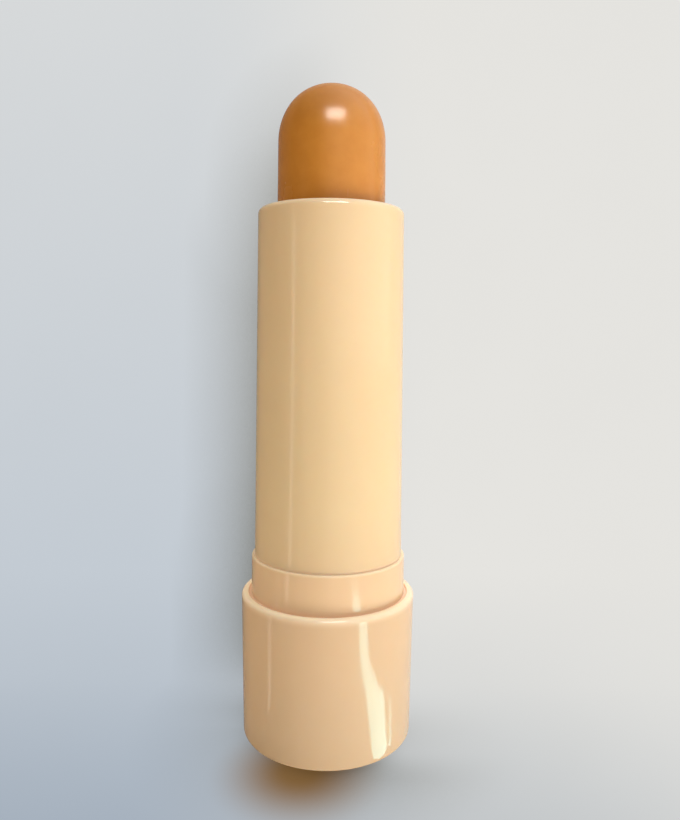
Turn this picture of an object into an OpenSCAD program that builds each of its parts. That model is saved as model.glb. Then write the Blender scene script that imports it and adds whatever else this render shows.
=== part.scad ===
// Twist-up concealer stick without its cap, with the bullet wound part of the way up.
// +Z runs along the stick, and the origin is the centre of the base's foot.
// The base cup and the guide tube stand still. The outer tube and the spiral sleeve turn
// around them, and the two spiral slots lift the carrier cup's lugs, the cup and the bullet.

/* [Bullet] */
// Radius of the bullet's straight stem
bullet_r = 6.1; // [4:0.05:9]
// Height of the bullet's rounded tip
dome_h = 6.6; // [3:0.05:12]
// Roundness of the tip: 2 is an ellipse, and more is squarer
dome_power = 2.1; // [1.6:0.05:3]
// Chamfer at the bullet's foot
bullet_chamfer = 0.3; // [0.1:0.05:0.8]
// How far the bullet is wound up from its lowest place
raised = 15.3; // [0:0.1:26.8]
// How deep the tip lies in the tube when it is wound down
tip_recess = 1.2; // [0:0.1:3]

/* [Carrier cup] */
// Wall of the carrier cup
cup_wall = 0.4; // [0.3:0.05:0.9]
// Floor of the carrier cup
cup_floor = 0.8; // [0.5:0.1:2]
// Height of the carrier cup
cup_h = 9.5; // [6:0.1:14]
// Lowest place of the cup's foot, above the collar
cup_start = 1.9; // [1.7:0.1:4]
// How far the cup's rim stays below the tube's top when it is wound up
cup_recess = 0.6; // [0.2:0.1:3]
// Diameter of the cup's two lugs
lug_d = 1.6; // [1:0.05:2.2]
// Height of the lugs' middle above the cup's foot
lug_up = 1.6; // [1.2:0.1:4]

/* [Guide tube] */
// Wall of the slotted guide tube
guide_wall = 0.55; // [0.4:0.05:1]
// Height of the collar that shows below the outer tube
collar_h = 4.1; // [2:0.1:10]
// Step from the outer tube out to the collar
collar_step = 0.33; // [0.1:0.01:1.5]
// Rounding of the collar's top edge
collar_edge = 0.15; // [0.05:0.05:0.3]
// Thickness of the flange between the guide tube and the collar
flange_h = 0.9; // [0.5:0.1:2]
// Wall of the collar's skirt, where it plugs into the base
skirt_wall = 0.9; // [0.6:0.05:1.2]
// Depth of the collar's skirt inside the base
skirt_depth = 5.8; // [2:0.1:7]
// Step from the collar in to its skirt
skirt_step = 0.3; // [0.2:0.05:0.5]
// Step from the skirt in to the plug
plug_step = 0.15; // [0.1:0.05:0.4]
// Height of the plug's end above the base's floor
plug_gap = 2.8; // [0.5:0.1:3.5]
// How far the snap ring stands out of the guide tube
snap_rise = 0.2; // [0.1:0.05:0.3]
// Height of the snap ring above the collar
snap_up = 1.1; // [0.8:0.05:1.4]

/* [Spiral sleeve] */
// Wall of the spiral sleeve
spiral_wall = 0.6; // [0.45:0.05:1]
// Turns from the bullet's lowest place to its highest
turns = 2; // [1:0.25:3]

/* [Outer tube] */
// Wall of the outer tube
tube_wall = 0.47; // [0.4:0.01:1.2]
// Length of the outer tube
tube_h = 38.72; // [34:0.01:50]
// Thickness of the lip that closes over the mechanism
lip_h = 0.8; // [0.7:0.05:2]
// Rounding of the tube's top edge
tube_round = 0.7; // [0.2:0.05:0.8]
// Rounding of the lip's inner edge and of the tube's foot
tube_edge = 0.15; // [0.05:0.05:0.3]

/* [Base cup] */
// Height of the base
base_h = 15.5; // [12:0.1:24]
// Wall of the base
base_wall = 0.8; // [0.6:0.05:1.5]
// Floor of the base
base_floor = 1.2; // [0.8:0.1:2]
// How much smaller the foot's radius is than the rim's
base_taper = 0.34; // [0:0.02:0.6]
// Rounding of the rim's outer edge
rim_round = 0.4; // [0.1:0.05:0.4]
// Rounding of the rim's inner edge
rim_inner = 0.2; // [0.05:0.05:0.2]
// Rounding of the foot's edge
foot_round = 0.45; // [0.1:0.05:0.6]
// Depth of the gap between the collar and the rim
rim_depth = 0.5; // [0.3:0.05:1.5]
// Height of the ledge at the foot of that gap
ledge_h = 0.8; // [0.4:0.1:2]
// Number of ribs that grip the collar's plug
ribs = 8; // [4:1:16]
// Width of a rib
rib_w = 0.8; // [0.4:0.05:1.4]

/* [Clearances] */
// Gap between the carrier cup and the guide tube
slide_gap = 0.08; // [0.04:0.01:0.2]
// Gap between the guide tube and the spiral sleeve
turn_gap = 0.05; // [0.03:0.01:0.1]
// Gap between the collar and the outer tube's foot
face_gap = 0.08; // [0.05:0.01:0.3]
// Gap around the lugs in both kinds of slot
lug_gap = 0.1; // [0.06:0.01:0.2]
// Gap between the lugs' ends and the outer tube
tip_gap = 0.1; // [0.05:0.01:0.2]
// Gap between the carrier cup and the tube's lip
lip_gap = 0.12; // [0.06:0.01:0.4]
// Gap between the guide tube's end and the tube's lip
end_gap = 0.2; // [0.1:0.05:0.5]
// Gap between the collar's skirt and the base's ledge
ledge_gap = 0.05; // [0.03:0.01:0.15]
// Gap between the collar and the base's rim
rim_gap = 0.28; // [0.15:0.01:1]

/* [Hidden] */
// Sides of a full circle
$fn = 128;
// Radii from the bullet outward
cup_r = bullet_r + cup_wall;
guide_bore = cup_r + slide_gap;
guide_r = guide_bore + guide_wall;
spiral_bore = guide_r + turn_gap;
spiral_r = spiral_bore + spiral_wall;
tube_r = spiral_r + tube_wall;
lip_r = cup_r + lip_gap;
collar_r = tube_r + collar_step;
skirt_r = collar_r - skirt_step;
plug_r = skirt_r - plug_step;
plug_bore = plug_r - skirt_wall;
rim_bore = collar_r + rim_gap;
rim_r = rim_bore + base_wall;
ledge_r = skirt_r + ledge_gap;
foot_r = rim_r - base_taper;
// Heights from the floor upward
plug_foot = base_floor + plug_gap;
skirt_foot = base_h - skirt_depth;
ledge_top = base_h - rim_depth;
ledge_foot = ledge_top - ledge_h;
collar_top = base_h + collar_h;
tube_foot = collar_top + face_gap;
tube_top = tube_foot + tube_h;
lip_foot = tube_top - lip_h;
guide_top = lip_foot - end_gap;
snap_z = collar_top + snap_up;
// Travel of the cup between its two stops, and how far it rises in one turn
cup_low = collar_top + cup_start;
travel = tube_top - cup_recess - cup_h - cup_low;
lead = travel / turns;
bullet_h = tube_top - tip_recess - cup_low - cup_floor;
// Places of the cup, the bullet and the lugs as they stand now
cup_foot = cup_low + raised;
bullet_foot = cup_foot + cup_floor;
dome_foot = bullet_foot + bullet_h - dome_h;
lug_z = cup_foot + lug_up;
lug_low = cup_low + lug_up;
lug_r = lug_d / 2;
lug_end = sqrt(spiral_r * spiral_r - lug_r * lug_r) - tip_gap;
// Slot sizes: half the width along Z, and how far a spiral slot runs past a lug's middle
slot_r = lug_r + lug_gap;
spiral_angle = atan(lead / (PI * (spiral_bore + spiral_r)));
slot_half = slot_r / cos(spiral_angle);
slot_over = slot_r * 360 / (PI * (spiral_bore + spiral_r));
// Steps of a spiral slot, a dome and a small rounding, and how far a cutter passes a wall
slot_steps = 40 * turns;
dome_steps = 30;
round_steps = 8;
past = 0.4;

// Points on an arc about (x, z), from one angle to another
function arc(x, z, r, from, to) =
    [for (i = [0:round_steps])
        let(a = from + (to - from) * i / round_steps) [x + r * cos(a), z + r * sin(a)]];

// Points of the dome from its edge to its top: a superellipse
function dome() =
    [for (i = [0:dome_steps])
        let(a = 90 * i / dome_steps)
        [bullet_r * pow(cos(a), 2 / dome_power),
         dome_foot + dome_h * pow(sin(a), 2 / dome_power)]];

// Inner radius of the base's tapered wall at a height
function base_bore(z) = rim_bore - base_taper * (1 - z / base_h);

// Corners of a spiral slot's cutter: four at each step, in the order low to high
function slot_points(low, high, start) =
    [for (i = [0:slot_steps])
        let(a = low + (high - low) * i / slot_steps, z = lug_z + lead * a / 360)
        for (c = [[spiral_bore - past, -slot_half], [spiral_r + past, -slot_half],
                  [spiral_r + past, slot_half], [spiral_bore - past, slot_half]])
            [c[0] * cos(a + start), c[0] * sin(a + start), z + c[1]]];

// Triangles between one step and the next, and the two ends
function slot_faces() =
    concat(
        [for (i = [0:slot_steps - 1], k = [0:3])
            let(m = (k + 1) % 4) [4 * i + k, 4 * i + m, 4 * i + 4 + m]],
        [for (i = [0:slot_steps - 1], k = [0:3])
            let(m = (k + 1) % 4) [4 * i + k, 4 * i + 4 + m, 4 * i + 4 + k]],
        [[3, 2, 1], [3, 1, 0]],
        [[4 * slot_steps, 4 * slot_steps + 1, 4 * slot_steps + 2],
         [4 * slot_steps, 4 * slot_steps + 2, 4 * slot_steps + 3]]);

// Cutter for one spiral slot, which the lug follows from its lowest to its highest place
module spiral_slot(start) {
    low = -360 * raised / lead - slot_over;
    high = 360 * (travel - raised) / lead + slot_over;
    polyhedron(points = slot_points(low, high, start), faces = slot_faces());
}

// Cutter for one straight slot in the guide tube, with round ends
module guide_slot() {
    for (z = [lug_low, lug_low + travel])
        translate([guide_bore - past, 0, z])
            rotate([0, 90, 0])
                cylinder(r = slot_r, h = guide_wall + 2 * past);
    translate([guide_bore - past, -slot_r, lug_low])
        cube([guide_wall + 2 * past, 2 * slot_r, travel]);
}

// Closed cup with a tapered wall, a rounded rim, a ledge in its mouth and ribs inside
module base_cup() {
    color([0.84, 0.71, 0.56]) {
        rotate_extrude()
            polygon(concat(
                [[0, 0]],
                arc(foot_r - foot_round, foot_round, foot_round, -90, 0),
                arc(rim_r - rim_round, base_h - rim_round, rim_round, 0, 90),
                arc(rim_bore + rim_inner, base_h - rim_inner, rim_inner, 90, 180),
                [[base_bore(ledge_top), ledge_top], [ledge_r, ledge_top],
                 [ledge_r, ledge_foot], [base_bore(ledge_foot), ledge_foot],
                 [base_bore(base_floor), base_floor], [0, base_floor]]));
        base_ribs();
    }
}

// Upright ribs from the middle of the base's wall in to the plug
module base_ribs() {
    wall_mid = base_wall / 2;
    difference() {
        intersection() {
            rotate_extrude()
                polygon([[0, base_floor - wall_mid],
                         [base_bore(base_floor) + wall_mid, base_floor - wall_mid],
                         [base_bore(skirt_foot) + wall_mid, skirt_foot],
                         [0, skirt_foot]]);
            for (i = [0:ribs - 1])
                rotate([0, 0, 360 * i / ribs])
                    translate([0, -rib_w / 2, 0])
                        cube([rim_r, rib_w, base_h]);
        }
        cylinder(r = plug_r, h = base_h);
    }
}

// Slotted tube with its snap ring, and the collar, skirt and plug moulded on its foot
module guide_tube() {
    color([0.84, 0.70, 0.56])
        difference() {
            union() {
                rotate_extrude()
                    polygon(concat(
                        [[plug_bore, plug_foot], [plug_r, plug_foot],
                         [plug_r, skirt_foot], [skirt_r, skirt_foot],
                         [skirt_r, base_h - collar_edge], [collar_r, base_h - collar_edge]],
                        arc(collar_r - collar_edge, collar_top - collar_edge,
                            collar_edge, 0, 90),
                        [[guide_r, collar_top], [guide_r, guide_top],
                         [guide_bore, guide_top], [guide_bore, collar_top - flange_h],
                         [plug_bore, collar_top - flange_h]]));
                rotate_extrude()
                    translate([guide_r, snap_z])
                        circle(r = snap_rise, $fn = 24);
            }
            for (start = [0, 180])
                rotate([0, 0, start])
                    guide_slot();
        }
}

// Sleeve with two spiral slots and a groove that snaps over the guide tube's ring
module spiral_sleeve() {
    groove_half = snap_rise + face_gap;
    groove_r = spiral_bore + snap_rise;
    color([0.93, 0.92, 0.88])
        difference() {
            rotate_extrude()
                polygon([[spiral_bore, tube_foot], [spiral_r, tube_foot],
                         [spiral_r, lip_foot], [spiral_bore, lip_foot],
                         [spiral_bore, snap_z + groove_half], [groove_r, snap_z + groove_half],
                         [groove_r, snap_z - groove_half],
                         [spiral_bore, snap_z - groove_half]]);
            for (start = [0, 180])
                spiral_slot(start);
        }
}

// Outer tube with a rounded top edge and a lip over the mechanism
module outer_tube() {
    color([0.93, 0.82, 0.62])
        rotate_extrude()
            polygon(concat(
                [[spiral_r, tube_foot]],
                arc(tube_r - tube_edge, tube_foot + tube_edge, tube_edge, -90, 0),
                arc(tube_r - tube_round, tube_top - tube_round, tube_round, 0, 90),
                arc(lip_r + tube_edge, tube_top - tube_edge, tube_edge, 90, 180),
                [[lip_r, lip_foot], [spiral_r, lip_foot]]));
}

// Cup around the bullet's foot, with a lug on each side
module carrier_cup() {
    color([0.95, 0.94, 0.91]) {
        rotate_extrude()
            polygon([[0, cup_foot], [cup_r, cup_foot], [cup_r, cup_foot + cup_h],
                     [bullet_r, cup_foot + cup_h], [bullet_r, bullet_foot],
                     [0, bullet_foot]]);
        for (start = [0, 180])
            rotate([0, 0, start])
                translate([bullet_r + cup_wall / 2, 0, lug_z])
                    rotate([0, 90, 0])
                        cylinder(r = lug_r, h = lug_end - bullet_r - cup_wall / 2);
    }
}

// Round stick of product with a domed tip
module concealer_bullet() {
    color([0.80, 0.53, 0.24])
        rotate_extrude()
            polygon(concat(
                [[0, bullet_foot], [bullet_r - bullet_chamfer, bullet_foot],
                 [bullet_r, bullet_foot + bullet_chamfer]],
                dome()));
}

base_cup();
guide_tube();
spiral_sleeve();
outer_tube();
carrier_cup();
concealer_bullet();
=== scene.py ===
"""Looks for a twist-up concealer stick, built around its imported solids.

The base, the outer tube and the bullet are surfaces worked out with numpy, which stand for their
solids. The guide tube, the spiral sleeve and the carrier cup keep their solids and get finishes.
Lengths are metres, and +Z runs along the stick from the base to the bullet.
"""

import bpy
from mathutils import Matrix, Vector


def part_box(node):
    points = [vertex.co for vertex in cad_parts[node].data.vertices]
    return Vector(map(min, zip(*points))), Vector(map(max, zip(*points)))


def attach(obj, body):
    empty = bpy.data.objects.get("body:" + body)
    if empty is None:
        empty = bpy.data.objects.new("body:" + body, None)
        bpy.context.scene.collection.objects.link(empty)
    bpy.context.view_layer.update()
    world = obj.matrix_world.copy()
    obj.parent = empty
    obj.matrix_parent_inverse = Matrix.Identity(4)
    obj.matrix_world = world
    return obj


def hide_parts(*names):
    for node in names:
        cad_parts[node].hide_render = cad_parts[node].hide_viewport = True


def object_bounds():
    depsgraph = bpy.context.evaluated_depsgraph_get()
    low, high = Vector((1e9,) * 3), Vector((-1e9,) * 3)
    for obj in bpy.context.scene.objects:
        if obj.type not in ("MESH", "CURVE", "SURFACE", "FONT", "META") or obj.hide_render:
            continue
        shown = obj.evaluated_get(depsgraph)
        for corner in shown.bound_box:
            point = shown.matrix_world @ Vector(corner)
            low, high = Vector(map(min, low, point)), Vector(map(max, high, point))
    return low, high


bl_info = {
    "name": "Concealer Stick",
    "version": (1, 0, 0),
    "blender": (4, 5, 0),
    "location": "3D View > Sidebar > Stick",
    "description": "A twist-up concealer stick with its finishes, on a pale studio floor",
    "category": "Add Mesh",
}

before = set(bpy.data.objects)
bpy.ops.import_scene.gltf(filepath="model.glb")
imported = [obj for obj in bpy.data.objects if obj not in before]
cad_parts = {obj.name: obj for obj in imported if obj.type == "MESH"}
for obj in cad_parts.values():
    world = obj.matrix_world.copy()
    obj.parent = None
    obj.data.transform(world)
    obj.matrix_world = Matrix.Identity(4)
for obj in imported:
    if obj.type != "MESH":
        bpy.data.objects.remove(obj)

import math

import bpy
import numpy as np
from bpy.props import FloatProperty, FloatVectorProperty, IntProperty, PointerProperty
from mathutils import Matrix, Vector

MM = 0.001
CAD_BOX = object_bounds()
BASE_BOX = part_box("base_cup")
TUBE_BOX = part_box("outer_tube")
BULLET_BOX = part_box("concealer_bullet")

# How much of the collar shows above the base
COLLAR_SHOWN = 4.1 * MM
# Faces once round each turned surface
BASE_SIDES, TUBE_SIDES, BULLET_SIDES = 400, 288, 256


# Properties


def length(name, description, default, **more):
    """A length property in metres."""
    return FloatProperty(name=name, description=description, default=default, min=0.0,
                         precision=5, unit="LENGTH", subtype="DISTANCE", **more)


def colour(name, description, default, high=1.0):
    """A colour property, linear red, green and blue."""
    return FloatVectorProperty(name=name, description=description, default=default, size=3,
                               min=0.0, max=high, subtype="COLOR")


class BaseSizes(bpy.types.PropertyGroup):
    """Sizes of the base cup"""

    rim_radius: length("Rim Radius", "Outer radius at the base's rim", BASE_BOX[1].x)
    height: length("Height", "Height of the base", BASE_BOX[1].z)
    taper: length("Taper", "How much smaller the foot's radius is than the rim's", 0.34 * MM)
    wall: length("Wall", "Wall of the base", 0.8 * MM)
    floor: length("Floor", "Floor of the base", 1.2 * MM)
    rim_outer: length("Rim Rounding", "Rounding of the rim's outer edge", 0.4 * MM)
    rim_inner: length("Mouth Rounding", "Rounding of the rim's inner edge", 0.12 * MM)
    foot_edge: length("Foot Rounding", "Rounding of the foot's edge", 0.45 * MM)
    rib_count: IntProperty(name="Ribs", description="Ribs that grip the collar's plug",
                           default=8, min=3, max=16)
    rib_width: length("Rib Width", "Width of a rib", 0.8 * MM)
    rib_radius: length("Rib Radius", "Radius that the ribs reach in to", 8.13 * MM)
    rib_top: length("Rib Top", "Height of the ribs' upper ends", 9.7 * MM)
    ledge_depth: length("Ledge Depth", "From the rim down to the ledge in the mouth", 0.15 * MM)
    ledge_height: length("Ledge Height", "Height of that ledge", 0.8 * MM)
    ledge_radius: length("Ledge Radius", "Radius of the opening in the ledge", 8.33 * MM)


class TubeSizes(bpy.types.PropertyGroup):
    """Sizes of the outer tube"""

    radius: length("Radius", "Outer radius of the tube", TUBE_BOX[1].x)
    foot: length("Foot", "Height of the tube's lower end", TUBE_BOX[0].z)
    top: length("Top", "Height of the tube's upper end", TUBE_BOX[1].z)
    wall: length("Wall", "Wall of the tube", 0.47 * MM)
    lip: length("Lip", "Thickness of the lip over the mechanism", 0.8 * MM)
    mouth: length("Mouth", "Radius of the opening around the carrier cup", 6.62 * MM)
    top_edge: length("Top Rounding", "Rounding of the top's outer edge", 0.7 * MM)
    mouth_edge: length("Mouth Rounding", "Rounding of the mouth", 0.15 * MM)
    foot_edge: length("Foot Rounding", "Rounding of the foot", 0.015 * MM)
    foot_drop: length("Foot Drop", "How far the foot closes the gap above the collar",
                      0.079 * MM)


class BulletSizes(bpy.types.PropertyGroup):
    """Sizes of the bullet"""

    radius: length("Radius", "Radius of the straight stem", BULLET_BOX[1].x)
    foot: length("Foot", "Height of the bullet's foot", BULLET_BOX[0].z)
    tip: length("Tip", "Height of the bullet's tip", BULLET_BOX[1].z)
    dome: length("Dome", "Height of the rounded tip", 6.6 * MM)
    power: FloatProperty(name="Roundness", description="2 is an ellipse, and more is squarer",
                         default=2.1, min=1.6, max=3.0)
    chamfer: length("Chamfer", "Chamfer at the foot", 0.3 * MM)
    ripple: length("Ripple", "How far the moulded wax wanders from a true round", 0.012 * MM)


class Finishes(bpy.types.PropertyGroup):
    """Colours of the finishes"""

    peach: colour("Peach", "Base", (0.655, 0.47, 0.295))
    peach_deep: colour("Deep Peach", "Lower end of the base", (0.59, 0.438, 0.282))
    cream: colour("Cream", "Upper end of the outer tube", (0.815, 0.60, 0.36))
    cream_low: colour("Low Cream", "Lower end of the outer tube", (0.75, 0.575, 0.345))
    rim_light: colour("Rim Light", "Where light comes through a thin rim", (0.95, 0.81, 0.60))
    collar: colour("Collar", "The collar", (0.74, 0.53, 0.33))
    # Painted light: a warm light colour laid where two pieces meet and in the base's bore, in
    # place of the shade in the gap
    painted_gap_light: colour("Gap Glow", "Warm tint where two pieces meet", (0.88, 0.61, 0.41))
    wax: colour("Wax", "The bullet", (0.585, 0.235, 0.032))
    wax_dark: colour("Dark Wax", "Darker mottling in the bullet", (0.52, 0.193, 0.023))
    natural: colour("Natural White", "Spiral sleeve and carrier cup", (0.82, 0.80, 0.72))


class StageSettings(bpy.types.PropertyGroup):
    """Camera, lamps and floor"""

    camera_distance: length("Camera Distance", "From the stick's axis to the camera", 83.9 * MM)
    camera_height: length("Camera Height", "Height of the camera", 44.68 * MM)
    camera_side: length("Camera Side", "How far the camera stands to the right", 1.11 * MM)
    camera_turn: FloatProperty(name="Camera Turn", description="Turn about the line of sight",
                               default=math.radians(0.54), subtype="ANGLE")
    lens: FloatProperty(name="Lens", description="Focal length in millimetres on a 36 mm sensor",
                        default=32.42, min=5.0, subtype="DISTANCE_CAMERA")
    lens_shift: FloatProperty(name="Lens Shift", default=-0.0967,
                              description="Vertical shift, as a share of 820 pixels")
    card_back: length("Card Distance", "From the stick's axis to the card behind it", 9.9 * MM)
    card_cove: length("Cove", "Radius of the curve between the floor and the card", 1.0 * MM)
    key_power: FloatProperty(name="Key Power", description="Large soft lamp on the right",
                             default=1.95, min=0.0, unit="POWER")
    back_power: FloatProperty(name="Back Power", description="Soft lamp behind and above",
                              default=0.28, min=0.0, unit="POWER")
    tip_power: FloatProperty(name="Tip Power", description="Lamp whose gloss shows on the tip",
                             default=0.56, min=0.0, unit="POWER")
    ambient_low: colour("Low Ambient", "Light from the sides of the room", (0.35, 0.345, 0.34))
    ambient_left: colour("Left Ambient", "Share of the ambient light left on the left",
                         (0.56, 0.50, 0.42))
    ambient_high: colour("High Ambient", "Light from above", (2.35, 2.3, 2.25), high=3.0)
    backdrop: colour("Backdrop", "What the camera and the gloss see around the floor",
                     (0.74, 0.745, 0.735))
    # Painted shade: the cool paper colour low on the left and the darker share on the near floor
    # stand in for less light there
    paper_cool_shade: colour("Cool Paper", "The paper's low left side", (0.55, 0.60, 0.655))
    paper_warm: colour("Warm Paper", "The paper's right side", (0.785, 0.775, 0.745))
    paper_near_shade: colour("Near Paper", "Share of that colour left on the floor", (0.70, 0.74, 0.79))
    floor_bounce: colour("Floor Bounce", "Light that the floor gives back", (0.78, 0.70, 0.58))
    card_bounce: colour("Card Bounce", "Light that the card gives back", (0.72, 0.63, 0.51))
    shade: colour("Shade", "Share of the paper's colour left in the stick's shade",
                  (0.14, 0.12, 0.06))
    contact: colour("Contact Shade", "Share left where the base meets the floor",
                    (0.60, 0.31, 0.11))


# Surfaces


def arc(s, h, radius, start, stop, steps=12):
    """A rounding: the centre (s, h) plus the radius times (cos t, sin t), t from start to stop
    in degrees."""
    t = np.radians(np.linspace(start, stop, steps + 1))
    return np.stack([s + radius * np.cos(t), h + radius * np.sin(t)], axis=1)


def run(p, q, steps=12):
    """A straight run without its ends: p + (q - p) (1 - cos t) / 2, so that the points lie
    closest at both ends and a rounding's shading doesn't spread over the flat beside it."""
    t = (1.0 - np.cos(np.linspace(0.0, np.pi, steps + 1)[1:-1, None])) / 2.0
    return np.asarray(p) + (np.asarray(q) - np.asarray(p)) * t


def smooth(low, high, value):
    """0 below low, 1 above high, and 3 t^2 - 2 t^3 between them."""
    t = np.clip((value - low) / (high - low), 0.0, 1.0)
    return t * t * (3.0 - 2.0 * t)


def mesh_from_grid(name, points, wrap_rows=False):
    """A mesh over a grid of points, whose columns go once round. wrap_rows joins the last row
    to the first. Otherwise the first and last rows are poles, kept as one point each."""
    rows, sides = points.shape[:2]
    ids = np.arange(rows * sides).reshape(rows, sides)
    if not wrap_rows:
        ids[1:-1] -= sides - 1
        ids[0], ids[-1] = 0, ids[-2, -1] + 1
        points = np.concatenate([points[0, :1], points[1:-1].reshape(-1, 3), points[-1, :1]])
    low = ids if wrap_rows else ids[:-1]
    high = np.roll(ids, -1, axis=0) if wrap_rows else ids[1:]
    quads = np.stack([low, np.roll(low, -1, 1), np.roll(high, -1, 1), high], -1)
    if wrap_rows:
        corners, sizes = quads.ravel(), np.full(rows * sides, 4)
    else:
        first, last = quads[0][:, [0, 2, 3]], quads[-1][:, [0, 1, 2]]
        corners = np.concatenate([first.ravel(), quads[1:-1].ravel(), last.ravel()])
        sizes = np.concatenate([np.full(sides, 3), np.full(sides * (rows - 3), 4),
                                np.full(sides, 3)])
    mesh = bpy.data.meshes.new(name)
    mesh.vertices.add(points.size // 3)
    mesh.vertices.foreach_set("co", points.ravel())
    mesh.loops.add(corners.size)
    mesh.loops.foreach_set("vertex_index", corners)
    mesh.polygons.add(sizes.size)
    mesh.polygons.foreach_set("loop_start", np.cumsum(sizes) - sizes)
    mesh.polygons.foreach_set("use_smooth", np.ones(sizes.size, bool))
    mesh.update(calc_edges=True)
    if mesh.validate():
        raise RuntimeError(f"the surface {name} has bad faces")
    return mesh


def turned(name, profile, sides, shift=None, ring=False):
    """A profile carried round the stick's axis: a point is (r cos a, r sin a, h), where (s, h)
    follows the profile, a goes once round and r = s + shift(a, s, h)."""
    a = np.linspace(0.0, 2.0 * np.pi, sides, endpoint=False)[None, :]
    s, h = profile[:, :1], profile[:, 1:]
    r = s + (shift(a, s, h) if shift else 0.0 * a)
    points = np.stack([r * np.cos(a), r * np.sin(a), h + 0.0 * a], axis=-1)
    return mesh_from_grid(name, points, wrap_rows=ring)


def ruled(name, left, right, steps=1):
    """A flat ribbon: the point (u, v) is left(u) + v (right(u) - left(u)), v from 0 to 1."""
    v = np.linspace(0.0, 1.0, steps + 1)[None, :, None]
    points = left[:, None] + v * (right - left)[:, None]
    rows, columns = points.shape[:2]
    ids = np.arange(rows * columns).reshape(rows, columns)
    quads = np.stack([ids[:-1, :-1], ids[:-1, 1:], ids[1:, 1:], ids[1:, :-1]], -1)
    mesh = bpy.data.meshes.new(name)
    mesh.from_pydata(points.reshape(-1, 3).tolist(), [], quads.reshape(-1, 4).tolist())
    mesh.polygons.foreach_set("use_smooth", np.ones(len(mesh.polygons), bool))
    return mesh


def base_surface(size):
    """The base's closed section carried round: up the tapered outer wall, over the rounded rim,
    round the ledge in its mouth and down the inside to the floor. On the inner wall the radius
    drops to the ribs' radius where the way round to the nearest rib's middle is under half a
    rib's width."""
    rim, foot = size.rim_radius, size.rim_radius - size.taper
    mouth, top = rim - size.wall, size.height
    well = foot - size.wall + size.taper * size.floor / top
    low = arc(foot - size.foot_edge, size.foot_edge, size.foot_edge, -90, 0)
    outer = arc(rim - size.rim_outer, top - size.rim_outer, size.rim_outer, 0, 90)
    inner = arc(mouth + size.rim_inner, top - size.rim_inner, size.rim_inner, 90, 180)
    ledge_top, ledge_foot = top - size.ledge_depth, top - size.ledge_depth - size.ledge_height

    def bore(h):
        return mouth - size.taper * (1 - h / top)

    corners = [tuple(inner[-1]), (bore(ledge_top), ledge_top), (size.ledge_radius, ledge_top),
               (size.ledge_radius, ledge_foot), (bore(ledge_foot), ledge_foot),
               (bore(size.rib_top), size.rib_top), (well, size.floor)]
    inside = [[(p[0], p[1])] + run(p, q, n).tolist()
              for p, q, n in zip(corners, corners[1:], (4, 8, 6, 6, 10, 18))]
    profile = np.concatenate([
        [(0.0, 0.0)], run((0.0, 0.0), low[0], 10), low, run(low[-1], outer[0], 28), outer,
        inner[:-1], *inside, [(well, size.floor)],
        run((well, size.floor), (0.0, size.floor), 10), [(0.0, size.floor)]])
    edge = 0.1 * MM

    def ribs(a, s, h):
        way = np.abs((a * size.rib_count / (2 * np.pi) + 0.5) % 1.0 - 0.5) * 2 * np.pi * s
        across = 1.0 - smooth(size.rib_width / 2 - edge, size.rib_width / 2 + edge,
                              way / size.rib_count)
        below = 1.0 - smooth(size.rib_top - edge, size.rib_top + edge, h)
        indoors = (s < mouth + edge) & (h >= size.floor)
        return -np.clip(s - size.rib_radius, 0.0, None) * across * below * indoors

    return turned("base_shell", profile, BASE_SIDES, ribs)


def tube_surface(size):
    """The tube's closed section carried round: up the outer wall, over the rounded top and the
    lip's mouth, and down the bore."""
    e, bore, foot = size.mouth_edge, size.radius - size.wall, size.foot - size.foot_drop
    low = arc(size.radius - size.foot_edge, foot + size.foot_edge, size.foot_edge, -90, 0, 8)
    top = arc(size.radius - size.top_edge, size.top - size.top_edge, size.top_edge, 0, 90, 16)
    lip = arc(size.mouth + e, size.top - e, e, 90, 180, 8)
    under = (size.mouth, size.top - size.lip)
    corner = (bore, size.top - size.lip)
    profile = np.concatenate([
        low, run(low[-1], top[0], 40), top, run(top[-1], lip[0], 6), lip,
        run(lip[-1], under, 6), [under], run(under, corner, 6), [corner],
        run(corner, (bore, foot), 24), [(bore, foot)]])
    return turned("tube_shell", profile, TUBE_SIDES, ring=True)


def bullet_surface(size):
    """A stem with a chamfered foot under a superellipse dome, where (s / r)^p + (h / d)^p = 1.
    The radius also wanders by the sum of three low waves in the angle and the height."""
    r, top = size.radius, size.tip - size.dome
    t = np.linspace(0.0, np.pi / 2, 49)[:, None]
    dome = np.concatenate([r * np.cos(t) ** (2 / size.power),
                           top + size.dome * np.sin(t) ** (2 / size.power)], axis=1)
    dome[-1, 0] = 0.0
    heel, side = (r - size.chamfer, size.foot), (r, size.foot + size.chamfer)
    profile = np.concatenate([
        [(0.0, size.foot)], run((0.0, size.foot), heel, 8), [heel], run(heel, side, 4), [side],
        run(side, dome[0], 36), dome])

    def ripple(a, s, h):
        z = h / MM
        wave = (np.sin(2 * a + 0.35 * z) + 0.6 * np.sin(3 * a - 0.9 * z + 1.1)
                + 0.4 * np.sin(5 * a + 1.7 * z + 2.3)) / 2.0
        return size.ripple * (wave - 1.0) * smooth(0.0, 1.5 * MM, s) * (s > 0)

    return turned("bullet_wax", profile, BULLET_SIDES, ripple)


# Shader nodes


def group(name, inputs, outputs):
    """An empty shader group with named sockets: pairs of a name and a socket kind, and for an
    input also its default."""
    tree = bpy.data.node_groups.new(name, "ShaderNodeTree")
    for label, kind, default in inputs:
        socket = tree.interface.new_socket(label, in_out="INPUT", socket_type="NodeSocket" + kind)
        if default is not None:
            socket.default_value = default
    for label, kind in outputs:
        tree.interface.new_socket(label, in_out="OUTPUT", socket_type="NodeSocket" + kind)
    return tree, tree.nodes.new("NodeGroupInput").outputs, tree.nodes.new("NodeGroupOutput").inputs


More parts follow.
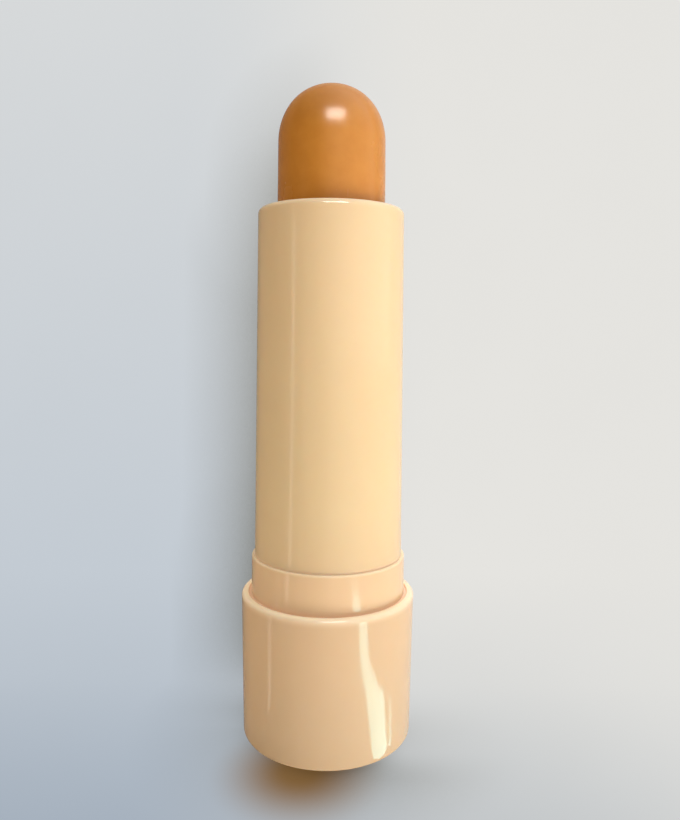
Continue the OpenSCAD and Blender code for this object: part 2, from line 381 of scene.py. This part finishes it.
def add(tree, kind, values=None, **settings):
    """A node with its settings, and its inputs given as values or as sockets to link."""
    made = tree.nodes.new("ShaderNode" + kind)
    for key, value in settings.items():
        setattr(made, key, value)
    for key, value in (values or {}).items():
        if isinstance(value, bpy.types.NodeSocket):
            tree.links.new(value, made.inputs[key])
        else:
            made.inputs[key].default_value = value
    return made


def number(tree, operation, a, b=0.0, c=0.0, clamp=False):
    """A Math node's result."""
    return add(tree, "Math", {0: a, 1: b, 2: c}, operation=operation, use_clamp=clamp).outputs[0]


def times(tree, a, b):
    """Two values multiplied."""
    return number(tree, "MULTIPLY", a, b)


def scaled(tree, value, slope, start):
    """The slope times a value, plus the start."""
    return number(tree, "MULTIPLY_ADD", value, slope, start)


def rest_of(tree, value):
    """1 less a value."""
    return number(tree, "SUBTRACT", 1.0, value)


def mix(tree, factor, a, b, blend="MIX"):
    """A colour between a and b."""
    return add(tree, "Mix", {0: factor, 6: a, 7: b}, data_type="RGBA", blend_type=blend).outputs[2]


def tinted(tree, factor, tone, tint):
    """A colour, of which the factor's share is multiplied by a tint."""
    return mix(tree, factor, tone, mix(tree, 1.0, tone, tint, "MULTIPLY"))


def ramp(tree, value, low, high, kind="SMOOTHSTEP"):
    """0 at low and 1 at high."""
    return add(tree, "MapRange", {0: value, 1: low, 2: high}, interpolation_type=kind).outputs[0]


def fade(tree, value, span, kind="SMOOTHSTEP"):
    """0 at a span's first number and 1 at its second, both in millimetres."""
    return ramp(tree, value, span[0] * MM, span[1] * MM, kind)


def height_of(tree, vector):
    """The Z part of a vector."""
    return add(tree, "SeparateXYZ", {0: vector}).outputs[2]


def rgba(c):
    """A colour property as four numbers."""
    return (*c, 1.0)


# Cells a metre of the grain and of the mottle
GRAIN_CELLS = {"gloss": (2200.0, 420.0), "wax": (1500.0, 520.0), "natural": (1800.0, 600.0),
               "paper": (900.0, 60.0)}
# What smudges and rubs add to the roughness
MARK_DEPTHS = {"gloss": (0.05, 0.04), "wax": (0.07, 0.03), "natural": (0.12, 0.06)}
# Tints that a mottle turns towards
GLOSS_MOTTLE, NATURAL_MOTTLE = (0.93, 0.90, 0.86, 1.0), (0.90, 0.87, 0.80, 1.0)
PAPER_MOTTLE = (0.985, 0.985, 0.985, 1.0)


def make_groups():
    """The effects that several finishes share."""
    # Fine grain: a fine noise as a height for bump, and a coarser one as a mottle
    tree, ins, out = group(
        "Fine Grain",
        [("Vector", "Vector", None), ("Cells", "Float", 4000.0), ("Mottle Cells", "Float", 300.0)],
        [("Height", "Float"), ("Mottle", "Float")])
    fine = add(tree, "TexNoise", {"Vector": ins["Vector"], "Scale": ins["Cells"], "Detail": 3.0,
                                  "Roughness": 0.55})
    slow = add(tree, "TexNoise", {"Vector": ins["Vector"], "Scale": ins["Mottle Cells"],
                                  "Detail": 4.0, "Roughness": 0.6})
    tree.links.new(fine.outputs[0], out["Height"])
    tree.links.new(ramp(tree, slow.outputs[0], 0.3, 0.7), out["Mottle"])

    # Edge fade: a mask that is 1 at a height and fades as the square below it, or above it where
    # the reach is less than nothing
    tree, ins, out = group(
        "Edge Fade",
        [("Vector", "Vector", None), ("Edge", "Float", 0.0), ("Reach", "Float", MM),
         ("Strength", "Float", 1.0)],
        [("Mask", "Float")])
    down = number(tree, "SUBTRACT", ins["Edge"], height_of(tree, ins["Vector"]))
    near = number(tree, "SUBTRACT", 1.0, number(tree, "DIVIDE", down, ins["Reach"]), clamp=True)
    mask = times(tree, times(tree, near, near), ins["Strength"])
    tree.links.new(mask, out["Mask"])

    # Handling marks: smudges that dull the gloss, and fine rubs drawn out along the stick
    tree, ins, out = group(
        "Handling Marks",
        [("Vector", "Vector", None), ("Roughness", "Float", 0.2), ("Smudge", "Float", 0.05),
         ("Rub", "Float", 0.03)],
        [("Roughness", "Float"), ("Height", "Float")])
    smudge = add(tree, "TexNoise", {"Vector": ins["Vector"], "Scale": 140.0, "Detail": 4.0,
                                    "Distortion": 0.6})
    drawn = add(tree, "Mapping", {"Vector": ins["Vector"], "Scale": (1.0, 1.0, 0.04)})
    rub = add(tree, "TexNoise", {"Vector": drawn.outputs[0], "Scale": 2600.0, "Detail": 2.0})
    rub_line = ramp(tree, rub.outputs[0], 0.62, 0.78)
    dull = scaled(tree, ramp(tree, smudge.outputs[0], 0.45, 0.7), ins["Smudge"], ins["Roughness"])
    tree.links.new(scaled(tree, rub_line, ins["Rub"], dull), out["Roughness"])
    tree.links.new(rest_of(tree, rub_line), out["Height"])

    # Height drift: one colour low on the stick that turns into another higher up
    tree, ins, out = group(
        "Height Drift",
        [("Vector", "Vector", None), ("Low", "Float", 0.0), ("High", "Float", 0.05),
         ("Low Colour", "Color", (1, 1, 1, 1)), ("High Colour", "Color", (1, 1, 1, 1))],
        [("Color", "Color")])
    share = ramp(tree, height_of(tree, ins["Vector"]), ins["Low"], ins["High"])
    tree.links.new(mix(tree, share, ins["Low Colour"], ins["High Colour"]), out["Color"])


def use(tree, name, values):
    """A shared group placed in a material."""
    return add(tree, "Group", values, node_tree=bpy.data.node_groups[name]).outputs


def grain_of(tree, spot, kind):
    """The fine grain of one kind of surface."""
    cells, mottle = GRAIN_CELLS[kind]
    return use(tree, "Fine Grain", {"Vector": spot, "Cells": cells, "Mottle Cells": mottle})


def marks_of(tree, spot, kind, roughness):
    """The handling marks of one kind of surface."""
    smudge, rub = MARK_DEPTHS[kind]
    return use(tree, "Handling Marks", {"Vector": spot, "Roughness": roughness, "Smudge": smudge,
                                        "Rub": rub})


def material(name):
    """An empty material: its tree, its Principled shader and its Object coordinates."""
    made = bpy.data.materials.new(name)
    made.use_nodes = True
    tree = made.node_tree
    shader = tree.nodes["Principled BSDF"]
    return made, tree, shader, add(tree, "TexCoord").outputs["Object"]


def bump(tree, shader, height, depth):
    """A surface relief of the given depth in metres."""
    made = add(tree, "Bump", {"Strength": 1.0, "Distance": depth, "Height": height})
    tree.links.new(made.outputs[0], shader.inputs["Normal"])


def set_shader(shader, **values):
    """Plain numbers on the shader's own sockets."""
    for key, value in values.items():
        shader.inputs[key.replace("_", " ")].default_value = value


def glossy_plastic(name, low, high, low_colour, high_colour, rims, roughness, scatter,
                   mouth=None):
    """Moulded plastic: its colour drifts with height, mottles faintly and changes at rims, each
    an edge's height, the reach of its fade, its strength and its colour; a rim's colour can be
    painted light. A mouth is the radius of a bore and the painted light colour inside it."""
    made, tree, shader, spot = material(name)
    grain = grain_of(tree, spot, "gloss")
    marks = marks_of(tree, spot, "gloss", roughness)
    drift = use(tree, "Height Drift", {"Vector": spot, "Low": low, "High": high,
                                       "Low Colour": rgba(low_colour),
                                       "High Colour": rgba(high_colour)})
    tone = tinted(tree, times(tree, grain["Mottle"], 0.10), drift["Color"], GLOSS_MOTTLE)
    for edge, reach, strength, tint in rims:
        light = use(tree, "Edge Fade", {"Vector": spot, "Edge": edge, "Reach": reach,
                                        "Strength": strength})
        tone = mix(tree, light["Mask"], tone, rgba(tint))
    if mouth:
        # Painted light: inside the mouth's radius the bore takes a light colour in place of its
        # shade
        radius, tint = mouth
        x, y, _ = add(tree, "SeparateXYZ", {0: spot}).outputs
        square = scaled(tree, x, x, times(tree, y, y))
        inside = ramp(tree, number(tree, "SQRT", square), radius + 0.1 * MM, radius)
        tone = mix(tree, inside, tone, rgba(tint))
    tree.links.new(tone, shader.inputs["Base Color"])
    tree.links.new(marks["Roughness"], shader.inputs["Roughness"])
    bump(tree, shader, scaled(tree, grain["Height"], 0.35, marks["Height"]), 0.0006 * MM)
    set_shader(shader, IOR=1.47, Subsurface_Weight=scatter, Subsurface_Scale=1.0 * MM,
               Subsurface_Radius=(1.0, 0.55, 0.3))
    return made


def wax_finish(name, wax, dark):
    """Soft satin wax: cloudy mottling, a fine pressed grain and light that scatters under it."""
    made, tree, shader, spot = material(name)
    grain = grain_of(tree, spot, "wax")
    marks = marks_of(tree, spot, "wax", 0.24)
    cloud = times(tree, grain["Mottle"], 0.55)
    tree.links.new(mix(tree, cloud, rgba(wax), rgba(dark)), shader.inputs["Base Color"])
    tree.links.new(marks["Roughness"], shader.inputs["Roughness"])
    bump(tree, shader, grain["Height"], 0.006 * MM)
    set_shader(shader, IOR=1.46, Subsurface_Weight=0.12, Subsurface_Scale=0.6 * MM,
               Subsurface_Radius=(1.0, 0.4, 0.15))
    return made


def natural_plastic(name, tint):
    """Uncoloured moulded plastic of the hidden mechanism, greased by use."""
    made, tree, shader, spot = material(name)
    grain = grain_of(tree, spot, "natural")
    marks = marks_of(tree, spot, "natural", 0.38)
    tone = tinted(tree, times(tree, grain["Mottle"], 0.35), rgba(tint), NATURAL_MOTTLE)
    tree.links.new(tone, shader.inputs["Base Color"])
    tree.links.new(marks["Roughness"], shader.inputs["Roughness"])
    bump(tree, shader, grain["Height"], 0.002 * MM)
    set_shader(shader, IOR=1.49, Subsurface_Weight=0.15, Subsurface_Scale=0.6 * MM,
               Subsurface_Radius=(1.0, 0.9, 0.7))
    return made


# Pieces


def place(mesh, body, node, finish):
    """A new piece in the scene, riding on a body and standing for a solid."""
    piece = bpy.data.objects.new(mesh.name, mesh)
    bpy.context.scene.collection.objects.link(piece)
    piece.data.materials.append(finish)
    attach(piece, body)
    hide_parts(node)


def dress(node, finish):
    """A finish on a solid that stays."""
    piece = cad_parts[node]
    if not piece.material_slots:
        raise RuntimeError(f"the solid {node} has no material slot")
    for held in piece.material_slots:
        held.material = finish


class StickOperator:
    """What every operator here has in common"""

    bl_options = {"REGISTER", "UNDO"}

    @classmethod
    def poll(cls, context):
        return context.scene is not None


class MakeGroups(StickOperator, bpy.types.Operator):
    """Make the shader groups that the finishes share"""

    bl_idname = "stick.groups"
    bl_label = "Shared Effects"

    def execute(self, context):
        make_groups()
        return {"FINISHED"}


class MakeBase(StickOperator, bpy.types.Operator):
    """Build the base cup with its ribs, and finish the guide tube's collar to match"""

    bl_idname = "stick.base"
    bl_label = "Base and Collar"

    def execute(self, context):
        size, look = context.scene.stick_base, context.scene.stick_finishes
        # Painted light on the base: its rim is lightened with the rim light colour, and the bore
        # inside the mouth takes the warm gap light over the gap's shade
        finish = glossy_plastic("Peach Gloss", 0.0, size.height, look.peach_deep, look.peach,
                                [(size.height, 1.0 * MM, 0.9, look.rim_light)],
                                roughness=0.12, scatter=0.25,
                                mouth=(size.rim_radius - size.wall + 0.05 * MM, look.painted_gap_light))
        place(base_surface(size), "base", "base_cup", finish)
        top = size.height + COLLAR_SHOWN
        # Painted light on the collar: a lighter band at its top, and warm gap light low down over
        # the shade of the gap to the base's rim
        collar = glossy_plastic("Collar Gloss", size.height, top, look.collar, look.collar,
                                [(top, 0.35 * MM, 0.6, look.rim_light),
                                 (size.height - 0.1 * MM, -0.9 * MM, 1.0, look.painted_gap_light)],
                                roughness=0.12, scatter=0.25)
        dress("guide_tube", collar)
        return {"FINISHED"}


class MakeTube(StickOperator, bpy.types.Operator):
    """Build the outer tube with its rounded top and lip"""

    bl_idname = "stick.tube"
    bl_label = "Outer Tube"

    def execute(self, context):
        size, look = context.scene.stick_tube, context.scene.stick_finishes
        # Painted light on the tube: a lighter rim at its top, and warm gap light at its foot over
        # the shade that the collar's step throws
        finish = glossy_plastic("Cream Gloss", size.foot, size.top, look.cream_low, look.cream,
                                [(size.top, 1.0 * MM, 0.75, look.rim_light),
                                 (size.foot, -9.0 * MM, 0.5, look.peach),
                                 (size.foot, -0.4 * MM, 1.0, look.painted_gap_light)],
                                roughness=0.13, scatter=0.3)
        place(tube_surface(size), "shell", "outer_tube", finish)
        return {"FINISHED"}


class MakeBullet(StickOperator, bpy.types.Operator):
    """Build the domed bullet of wax"""

    bl_idname = "stick.bullet"
    bl_label = "Bullet"

    def execute(self, context):
        size, look = context.scene.stick_bullet, context.scene.stick_finishes
        finish = wax_finish("Orange Tan Wax", look.wax, look.wax_dark)
        place(bullet_surface(size), "carrier", "concealer_bullet", finish)
        return {"FINISHED"}


class DressMechanism(StickOperator, bpy.types.Operator):
    """Finish the spiral sleeve and the carrier cup, which keep their solids"""

    bl_idname = "stick.mechanism"
    bl_label = "Mechanism"

    def execute(self, context):
        look = context.scene.stick_finishes
        for node in ("spiral_sleeve", "carrier_cup"):
            dress(node, natural_plastic(f"Natural {node}", look.natural))
        return {"FINISHED"}


# Stage

# Outlines of a window's and its frame's image on the floor, left and right edge from the base
# outward, in millimetres
WINDOW_LEFT = [(5.49, -8.08), (6.04, -8.49), (7.36, -9.34), (9.02, -10.5), (11.28, -12.36),
               (13.69, -14.76), (15.75, -17.42), (15.86, -17.64), (16.12, -18.26),
               (17.13, -20.77), (18.16, -23.35), (19.41, -25.51), (22.58, -29.3),
               (26.32, -33.74), (27.8, -41.42), (29.81, -43.14), (30.33, -44.98)]
WINDOW_RIGHT = [(5.76, -7.45), (6.56, -7.11), (8.21, -6.71), (10.24, -6.96), (13.17, -7.42),
                (16.5, -8.11), (19.67, -9.26), (19.29, -11.6), (19.71, -12.2), (21.26, -14.85),
                (22.31, -18.31), (23.42, -21.05), (27.11, -24.44), (31.39, -28.46),
                (35.05, -34.69), (36.96, -36.43), (37.64, -38.35)]
PANE_LEFT = [(30.84, -45.74), (32.46, -48.06)]
PANE_RIGHT = [(38.02, -39.29), (39.03, -42.32)]
FRAME_LEFT = [(8.23, -6.58), (10.28, -6.14), (14.29, -5.92), (18.26, -5.93)]
FRAME_RIGHT = [(8.23, -6.09), (10.26, -5.81), (14.26, -5.38), (18.24, -5.29)]
WINDOW_TINT = (0.45, 1.0, 0.95)
# Those shapes, each with its strength
WINDOW_PARTS = {"window": (WINDOW_LEFT, WINDOW_RIGHT, 7.0),
                "window_pane": (PANE_LEFT, PANE_RIGHT, 6.0),
                "window_frame": (FRAME_LEFT, FRAME_RIGHT, 5.0)}
# An upright strip on the left and its image on the floor, which make the base's left streak:
# azimuths of its edges, distance, ends, where its image starts as a share of the distance
POST_TURNS, POST_DISTANCE, POST_ENDS, POST_START = (-59.0, -54.5), 0.25, (0.001, 0.092), 0.2
# A strip on the floor that lights the base's left edge
EDGE_LEFT, EDGE_RIGHT = [(-15.0, -8.2), (-50.0, -13.4)], [(-15.0, -8.9), (-50.0, -16.4)]
POST_STRENGTH, EDGE_STRENGTH, STREAK_TINT = 2.0, 2.2, (1.0, 0.97, 0.9)
GLOW_HEIGHT = 0.3 * MM
# Lamps: azimuth and elevation in degrees, distance, size, tint and the rays that see them
LAMPS = {"key": (52, -33, 0.5, (0.3, 0.3), (1.0, 0.985, 0.96), ("diffuse", "transmission")),
         "back": (165, 50, 0.25, (0.14, 0.14), (1.0, 1.0, 1.0), ("diffuse", "transmission")),
         "tip": (9, 46, 0.25, (0.135, 0.08), (1.0, 0.98, 0.95), ("glossy",))}
# Half widths of the floor and of the card, and the card's height
FLOOR_REACH, CARD_REACH, CARD_HEIGHT = 0.9, 0.08, 0.12
# Spans of millimetres over which the paper changes: its tone up the card and across, the near
# floor's tone along and across, and the step from the floor onto the card
RISE_UP, COOL_ACROSS = (15, 105), (-20, 14)
NEAR_WAY, NEAR_ACROSS, ONTO_CARD = (-27, 14), (12, 50), (-12, -1)
# The shade's end on the right on the card and on the floor, and its gap on the stick's right
SHADE_ACROSS, LOW_ACROSS, SIDE_ACROSS, SIDE_ALONG = (-6, 4), (-10, 2), (2, 9), (-11, -5)
# The distance at which the bounce is strongest, and the edges past which the card is clear
BOUNCE_NEAR, CARD_WIDE, CARD_TALL = (90, 30), (75, 55), (115, 100)
SHADE_REACH = 13 * MM
# The warm painted shade where the base meets the floor: its shift, its radii and its fade in radii
SPOT_SHIFT, SPOT_RADII, SPOT_FADE = (2.6 * MM, 9.2 * MM, 0.0), (8 * MM, 8.5 * MM), (0.15, 1.2)
# Spans of the world's direction, up and across
SKY_UP, SKY_LEFT, HORIZON, GLOSS_ACROSS = (0.3, 1.0), (0.4, -0.7), (-0.02, 0.0), (-0.75, 0.9)
# Every kind of ray that an object can be hidden from
SIGHT = ("camera", "diffuse", "glossy", "transmission", "volume_scatter", "shadow")


def seen_by(thing, *kinds):
    """Lets only the named kinds of ray see an object."""
    for kind in SIGHT:
        setattr(thing, "visible_" + kind, kind in kinds)


def towards(azimuth, elevation, distance, target):
    """The point at an azimuth from -Y towards +X and an elevation, both in degrees."""
    a, e = math.radians(azimuth), math.radians(elevation)
    way = Vector((math.sin(a) * math.cos(e), -math.cos(a) * math.cos(e), math.sin(e)))
    return Vector(target) + way * distance


def lamp(name, azimuth, elevation, distance, size, power, tint, kinds):
    """A rectangular soft lamp that looks at the middle of the stick."""
    data = bpy.data.lights.new(name, "AREA")
    data.shape, data.size, data.size_y = "RECTANGLE", *size
    data.energy, data.color = power, tint
    data.cycles.use_multiple_importance_sampling = "glossy" in kinds
    made = bpy.data.objects.new(name, data)
    bpy.context.scene.collection.objects.link(made)
    middle = Vector((0.0, 0.0, CAD_BOX[1][2] / 2))
    made.location = towards(azimuth, elevation, distance, middle)
    made.rotation_euler = (middle - made.location).to_track_quat("-Z", "Y").to_euler()
    seen_by(made, *kinds)


def glow(name, mesh, strength, tint):
    """A stage surface that only gloss sees."""
    made = bpy.data.objects.new(name, mesh)
    bpy.context.scene.collection.objects.link(made)
    finish = bpy.data.materials.new(name)
    finish.use_nodes = True
    tree = finish.node_tree
    tree.nodes.clear()
    light = add(tree, "Emission", {"Color": (*tint, 1.0), "Strength": strength})
    tree.links.new(light.outputs[0], add(tree, "OutputMaterial").inputs[0])
    mesh.materials.append(finish)
    seen_by(made, "glossy")


def seen_rays(tree, path):
    """1 for camera, gloss and transmission rays, which see a plain tone."""
    return number(tree, "MAXIMUM", path["Is Camera Ray"],
                  number(tree, "MAXIMUM", path["Is Glossy Ray"], path["Is Transmission Ray"]))


def paper_shade(tree, x, y, way, rise):
    """The stick's shade: all round on the floor, and only on the left on the card. It gathers
    light from above on the floor, and from in front near the card and on it."""
    onto = fade(tree, way, ONTO_CARD)
    facing = add(tree, "CombineXYZ", {0: 0.0, 1: times(tree, onto, -1.0),
                                      2: rest_of(tree, onto)}).outputs[0]
    facing = add(tree, "VectorMath", {0: facing}, operation="NORMALIZE").outputs[0]
    reach = add(tree, "AmbientOcclusion", {"Distance": SHADE_REACH, "Normal": facing},
                samples=16).outputs["AO"]
    shut = number(tree, "MINIMUM", rest_of(tree, reach), scaled(tree, onto, 0.55, 0.45))
    left = rest_of(tree, fade(tree, x, SHADE_ACROSS))
    low = scaled(tree, fade(tree, x, LOW_ACROSS), 0.4, 0.65)
    side = times(tree, fade(tree, x, SIDE_ACROSS), fade(tree, y, SIDE_ALONG))
    low = times(tree, low, scaled(tree, side, -0.7, 1.0))
    low = times(tree, low, rest_of(tree, onto))
    left = times(tree, left, scaled(tree, onto, 0.4, 0.6))
    hidden = times(tree, shut, number(tree, "MAXIMUM", left, low))
    deeper = scaled(tree, hidden, 1.2, 0.85)
    deeper = times(tree, deeper, scaled(tree, rise, -0.4, 1.0))
    return number(tree, "MULTIPLY", hidden, deeper, clamp=True)


def paper(name, stage, bounce, see_through):
    """Pale paper. What the camera, gloss and transmission see is an even tone with painted shade:
    cooler low on the left and darker on the near floor, less the shade that the stick throws by
    standing close. Gloss sees it dimmer on the left. Light bounces off it with a colour of its
    own.
    A card is see-through from behind, to shadow rays and past its edges, so that it blocks no
    light and no view."""
    made, tree, shader, spot = material(name)
    x, y, z = add(tree, "SeparateXYZ", {0: spot}).outputs
    # Way along the paper: up the card, and forward over the floor as less than nothing
    way = number(tree, "ADD", z, number(tree, "SUBTRACT", y, stage.card_back))
    rise = fade(tree, way, RISE_UP, "LINEAR")
    lefter = rest_of(tree, fade(tree, x, COOL_ACROSS))
    # Painted shade: the tone turns cool low on the left and darker on the near floor
    cool_shade = times(tree, lefter, scaled(tree, rise, -0.7, 1.0))
    tone = mix(tree, cool_shade, rgba(stage.paper_warm), rgba(stage.paper_cool_shade))
    near = rest_of(tree, fade(tree, way, NEAR_WAY, "LINEAR"))
    near = times(tree, near, scaled(tree, fade(tree, x, NEAR_ACROSS), -0.6, 1.0))
    tone = tinted(tree, near, tone, rgba(stage.paper_near_shade))
    tone = tinted(tree, paper_shade(tree, x, y, way, rise), tone, rgba(stage.shade))
    # Warm dark shade where the base meets the floor, on the side away from the key
    off = add(tree, "VectorMath", {0: spot, 1: SPOT_SHIFT}, operation="ADD")
    off = add(tree, "VectorMath", {0: off.outputs[0],
                                   1: (1 / SPOT_RADII[0], 1 / SPOT_RADII[1], 0.0)},
              operation="MULTIPLY")
    off = add(tree, "VectorMath", {0: off.outputs[0]}, operation="LENGTH").outputs["Value"]
    tone = tinted(tree, rest_of(tree, ramp(tree, off, *SPOT_FADE)), tone, rgba(stage.contact))
    fibre = grain_of(tree, spot, "paper")
    tone = tinted(tree, times(tree, fibre["Mottle"], 0.5), tone, PAPER_MOTTLE)
    # The light that bounces: most from close by on the left, less from farther off
    far = add(tree, "VectorMath", {0: spot}, operation="LENGTH").outputs["Value"]
    share = scaled(tree, lefter, scaled(tree, fade(tree, far, BOUNCE_NEAR), 0.66, -0.20), 0.85)
    tree.links.new(mix(tree, 1.0, rgba(bounce), share, "MULTIPLY"), shader.inputs["Base Color"])
    set_shader(shader, Roughness=1.0, Specular_IOR_Level=0.0)
    path = add(tree, "LightPath").outputs
    dim = times(tree, path["Is Glossy Ray"], scaled(tree, lefter, -0.7, -0.1))
    even = add(tree, "Emission", {"Color": tone, "Strength": number(tree, "ADD", dim, 1.0)})
    last = add(tree, "MixShader", {0: seen_rays(tree, path), 1: shader.outputs[0],
                                   2: even.outputs[0]})
    if see_through:
        back = add(tree, "NewGeometry").outputs["Backfacing"]
        wide = fade(tree, number(tree, "ABSOLUTE", x), CARD_WIDE)
        shown = times(tree, wide, fade(tree, z, CARD_TALL))
        shown = times(tree, shown, rest_of(tree, back))
        shown = times(tree, shown, rest_of(tree, path["Is Shadow Ray"]))
        clear = add(tree, "BsdfTransparent")
        last = add(tree, "MixShader", {0: shown, 1: clear.outputs[0], 2: last.outputs[0]})
    tree.links.new(last.outputs[0], tree.nodes["Material Output"].inputs[0])
    return made


def make_world(stage):
    """A backdrop for the camera, gloss and transmission, which gloss sees dark on the left,
    and a plain ambient light for the rest: it is warmer from the left, grows from the sides to
    the top and is dark below."""
    world = bpy.data.worlds.new("studio")
    bpy.context.scene.world = world
    world.use_nodes = True
    tree = world.node_tree
    tree.nodes.clear()
    across, _, up = add(tree, "SeparateXYZ",
                        {0: add(tree, "TexCoord").outputs["Generated"]}).outputs
    ambient = mix(tree, ramp(tree, up, *SKY_UP), rgba(stage.ambient_low),
                  rgba(stage.ambient_high))
    ambient = tinted(tree, ramp(tree, across, *SKY_LEFT), ambient, rgba(stage.ambient_left))
    ambient = mix(tree, ramp(tree, up, *HORIZON), (0.0, 0.0, 0.0, 1.0), ambient)
    path = add(tree, "LightPath").outputs
    seen = seen_rays(tree, path)
    dim = times(tree, scaled(tree, ramp(tree, across, *GLOSS_ACROSS), 2.0, -0.95),
                path["Is Glossy Ray"])
    shown = add(tree, "Background", {"Color": rgba(stage.backdrop),
                                     "Strength": number(tree, "ADD", dim, 1.0)})
    lit = add(tree, "Background", {"Color": ambient, "Strength": 1.0})
    both = add(tree, "MixShader", {0: seen, 1: lit.outputs[0], 2: shown.outputs[0]})
    tree.links.new(both.outputs[0], add(tree, "OutputWorld").inputs[0])


def make_camera(stage):
    """The photograph's camera: it looks along +Y, level, with a small turn about its sight."""
    data = bpy.data.cameras.new("camera")
    data.lens, data.sensor_width = stage.lens, 36.0
    data.shift_y = stage.lens_shift
    data.clip_start, data.clip_end = 1.0 * MM, 10.0
    made = bpy.data.objects.new("camera", data)
    bpy.context.scene.collection.objects.link(made)
    made.matrix_world = (
        Matrix.Translation((stage.camera_side, -stage.camera_distance, stage.camera_height))
        @ Matrix.Rotation(math.pi / 2, 4, "X") @ Matrix.Rotation(stage.camera_turn, 4, "Z"))
    bpy.context.scene.camera = made


def make_floor(stage):
    """The floor, and the card that rises from it behind the stick through a quarter cove: the
    card's point (x, u) follows the cove's arc, then goes straight up."""
    edge = np.array([(-FLOOR_REACH, -FLOOR_REACH, 0.0), (-FLOOR_REACH, FLOOR_REACH, 0.0)])
    floor = bpy.data.objects.new("floor", ruled("floor", edge, edge * (-1.0, 1.0, 1.0)))
    floor.data.materials.append(paper("Floor Paper", stage, stage.floor_bounce, False))
    cove, back = stage.card_cove, stage.card_back
    turn = arc(back - cove, cove, cove, -90, 0, 24)
    rise = np.stack([np.full(24, back), np.linspace(cove, CARD_HEIGHT, 25)[1:]], axis=1)
    line = np.concatenate([turn, rise])
    left = np.stack([np.full(len(line), -CARD_REACH), line[:, 0], line[:, 1] + 0.01 * MM],
                    axis=1)
    card = bpy.data.objects.new("card", ruled("card", left, left * (-1.0, 1.0, 1.0), 8))
    card.data.materials.append(paper("Card Paper", stage, stage.card_bounce, True))
    for made in (floor, card):
        bpy.context.scene.collection.objects.link(made)
        seen_by(made, "camera", "diffuse", "glossy", "transmission")


def flat(outline):
    """Points of an outline in millimetres, laid just above the floor."""
    points = np.array(outline) * MM
    return np.concatenate([points, np.full((len(points), 1), GLOW_HEIGHT)], axis=1)


def make_glows():
    """The window's shapes and the strips that show as streaks on the left."""
    for name, (left, right, strength) in WINDOW_PARTS.items():
        glow(name, ruled(name, flat(left), flat(right)), strength, WINDOW_TINT)
    posts = [towards(turn, 0.0, POST_DISTANCE, (0.0, 0.0, 0.0)) for turn in POST_TURNS]
    left, right = (np.array([(*post.xy, end) for end in POST_ENDS]) for post in posts)
    glow("post", ruled("post", left, right), POST_STRENGTH, STREAK_TINT)
    left, right = (np.array([(POST_START * post.x, POST_START * post.y, GLOW_HEIGHT),
                             (*post.xy, GLOW_HEIGHT)]) for post in posts)
    glow("post_foot", ruled("post_foot", left, right), POST_STRENGTH, STREAK_TINT)
    glow("edge_light", ruled("edge_light", flat(EDGE_LEFT), flat(EDGE_RIGHT)), EDGE_STRENGTH,
         STREAK_TINT)


class MakeStage(StickOperator, bpy.types.Operator):
    """Set the camera, the floor, the card behind the stick, the lamps and the world"""

    bl_idname = "stick.stage"
    bl_label = "Stage"

    def execute(self, context):
        stage = context.scene.stick_stage
        make_camera(stage)
        make_floor(stage)
        make_world(stage)
        for name, (azimuth, elevation, distance, size, tint, kinds) in LAMPS.items():
            lamp(name, azimuth, elevation, distance, size, getattr(stage, f"{name}_power"), tint,
                 kinds)
        make_glows()
        context.scene.view_settings.view_transform = "Standard"
        return {"FINISHED"}


class StickPanel(bpy.types.Panel):
    """Lists the stick's pieces and their sizes"""

    bl_idname = "VIEW3D_PT_stick"
    bl_label = "Concealer Stick"
    bl_space_type = "VIEW_3D"
    bl_region_type = "UI"
    bl_category = "Stick"

    def draw(self, context):
        scene = context.scene
        for step in STEPS:
            self.layout.operator(step.bl_idname)
        for label, group_name in SETTINGS.items():
            box = self.layout.box()
            box.label(text=label)
            held = getattr(scene, group_name)
            for key in held.__annotations__:
                box.prop(held, key)


STEPS = (MakeGroups, MakeBase, MakeTube, MakeBullet, DressMechanism, MakeStage)
SETTINGS = {"Base": "stick_base", "Outer Tube": "stick_tube", "Bullet": "stick_bullet",
            "Finishes": "stick_finishes", "Stage": "stick_stage"}
GROUPS = (BaseSizes, TubeSizes, BulletSizes, Finishes, StageSettings)


def register():
    """Registers the classes and hangs the settings on the scene."""
    for made in (*GROUPS, *STEPS, StickPanel):
        bpy.utils.register_class(made)
    for held, name in zip(GROUPS, SETTINGS.values()):
        setattr(bpy.types.Scene, name, PointerProperty(type=held))


def unregister():
    """Undoes register."""
    for name in SETTINGS.values():
        delattr(bpy.types.Scene, name)
    for made in reversed((*GROUPS, *STEPS, StickPanel)):
        bpy.utils.unregister_class(made)


def main():
    """Builds every piece and the stage."""
    register()
    for step in STEPS:
        family, name = step.bl_idname.split(".")
        getattr(getattr(bpy.ops, family), name)()


if __name__ == "__main__":
    main()
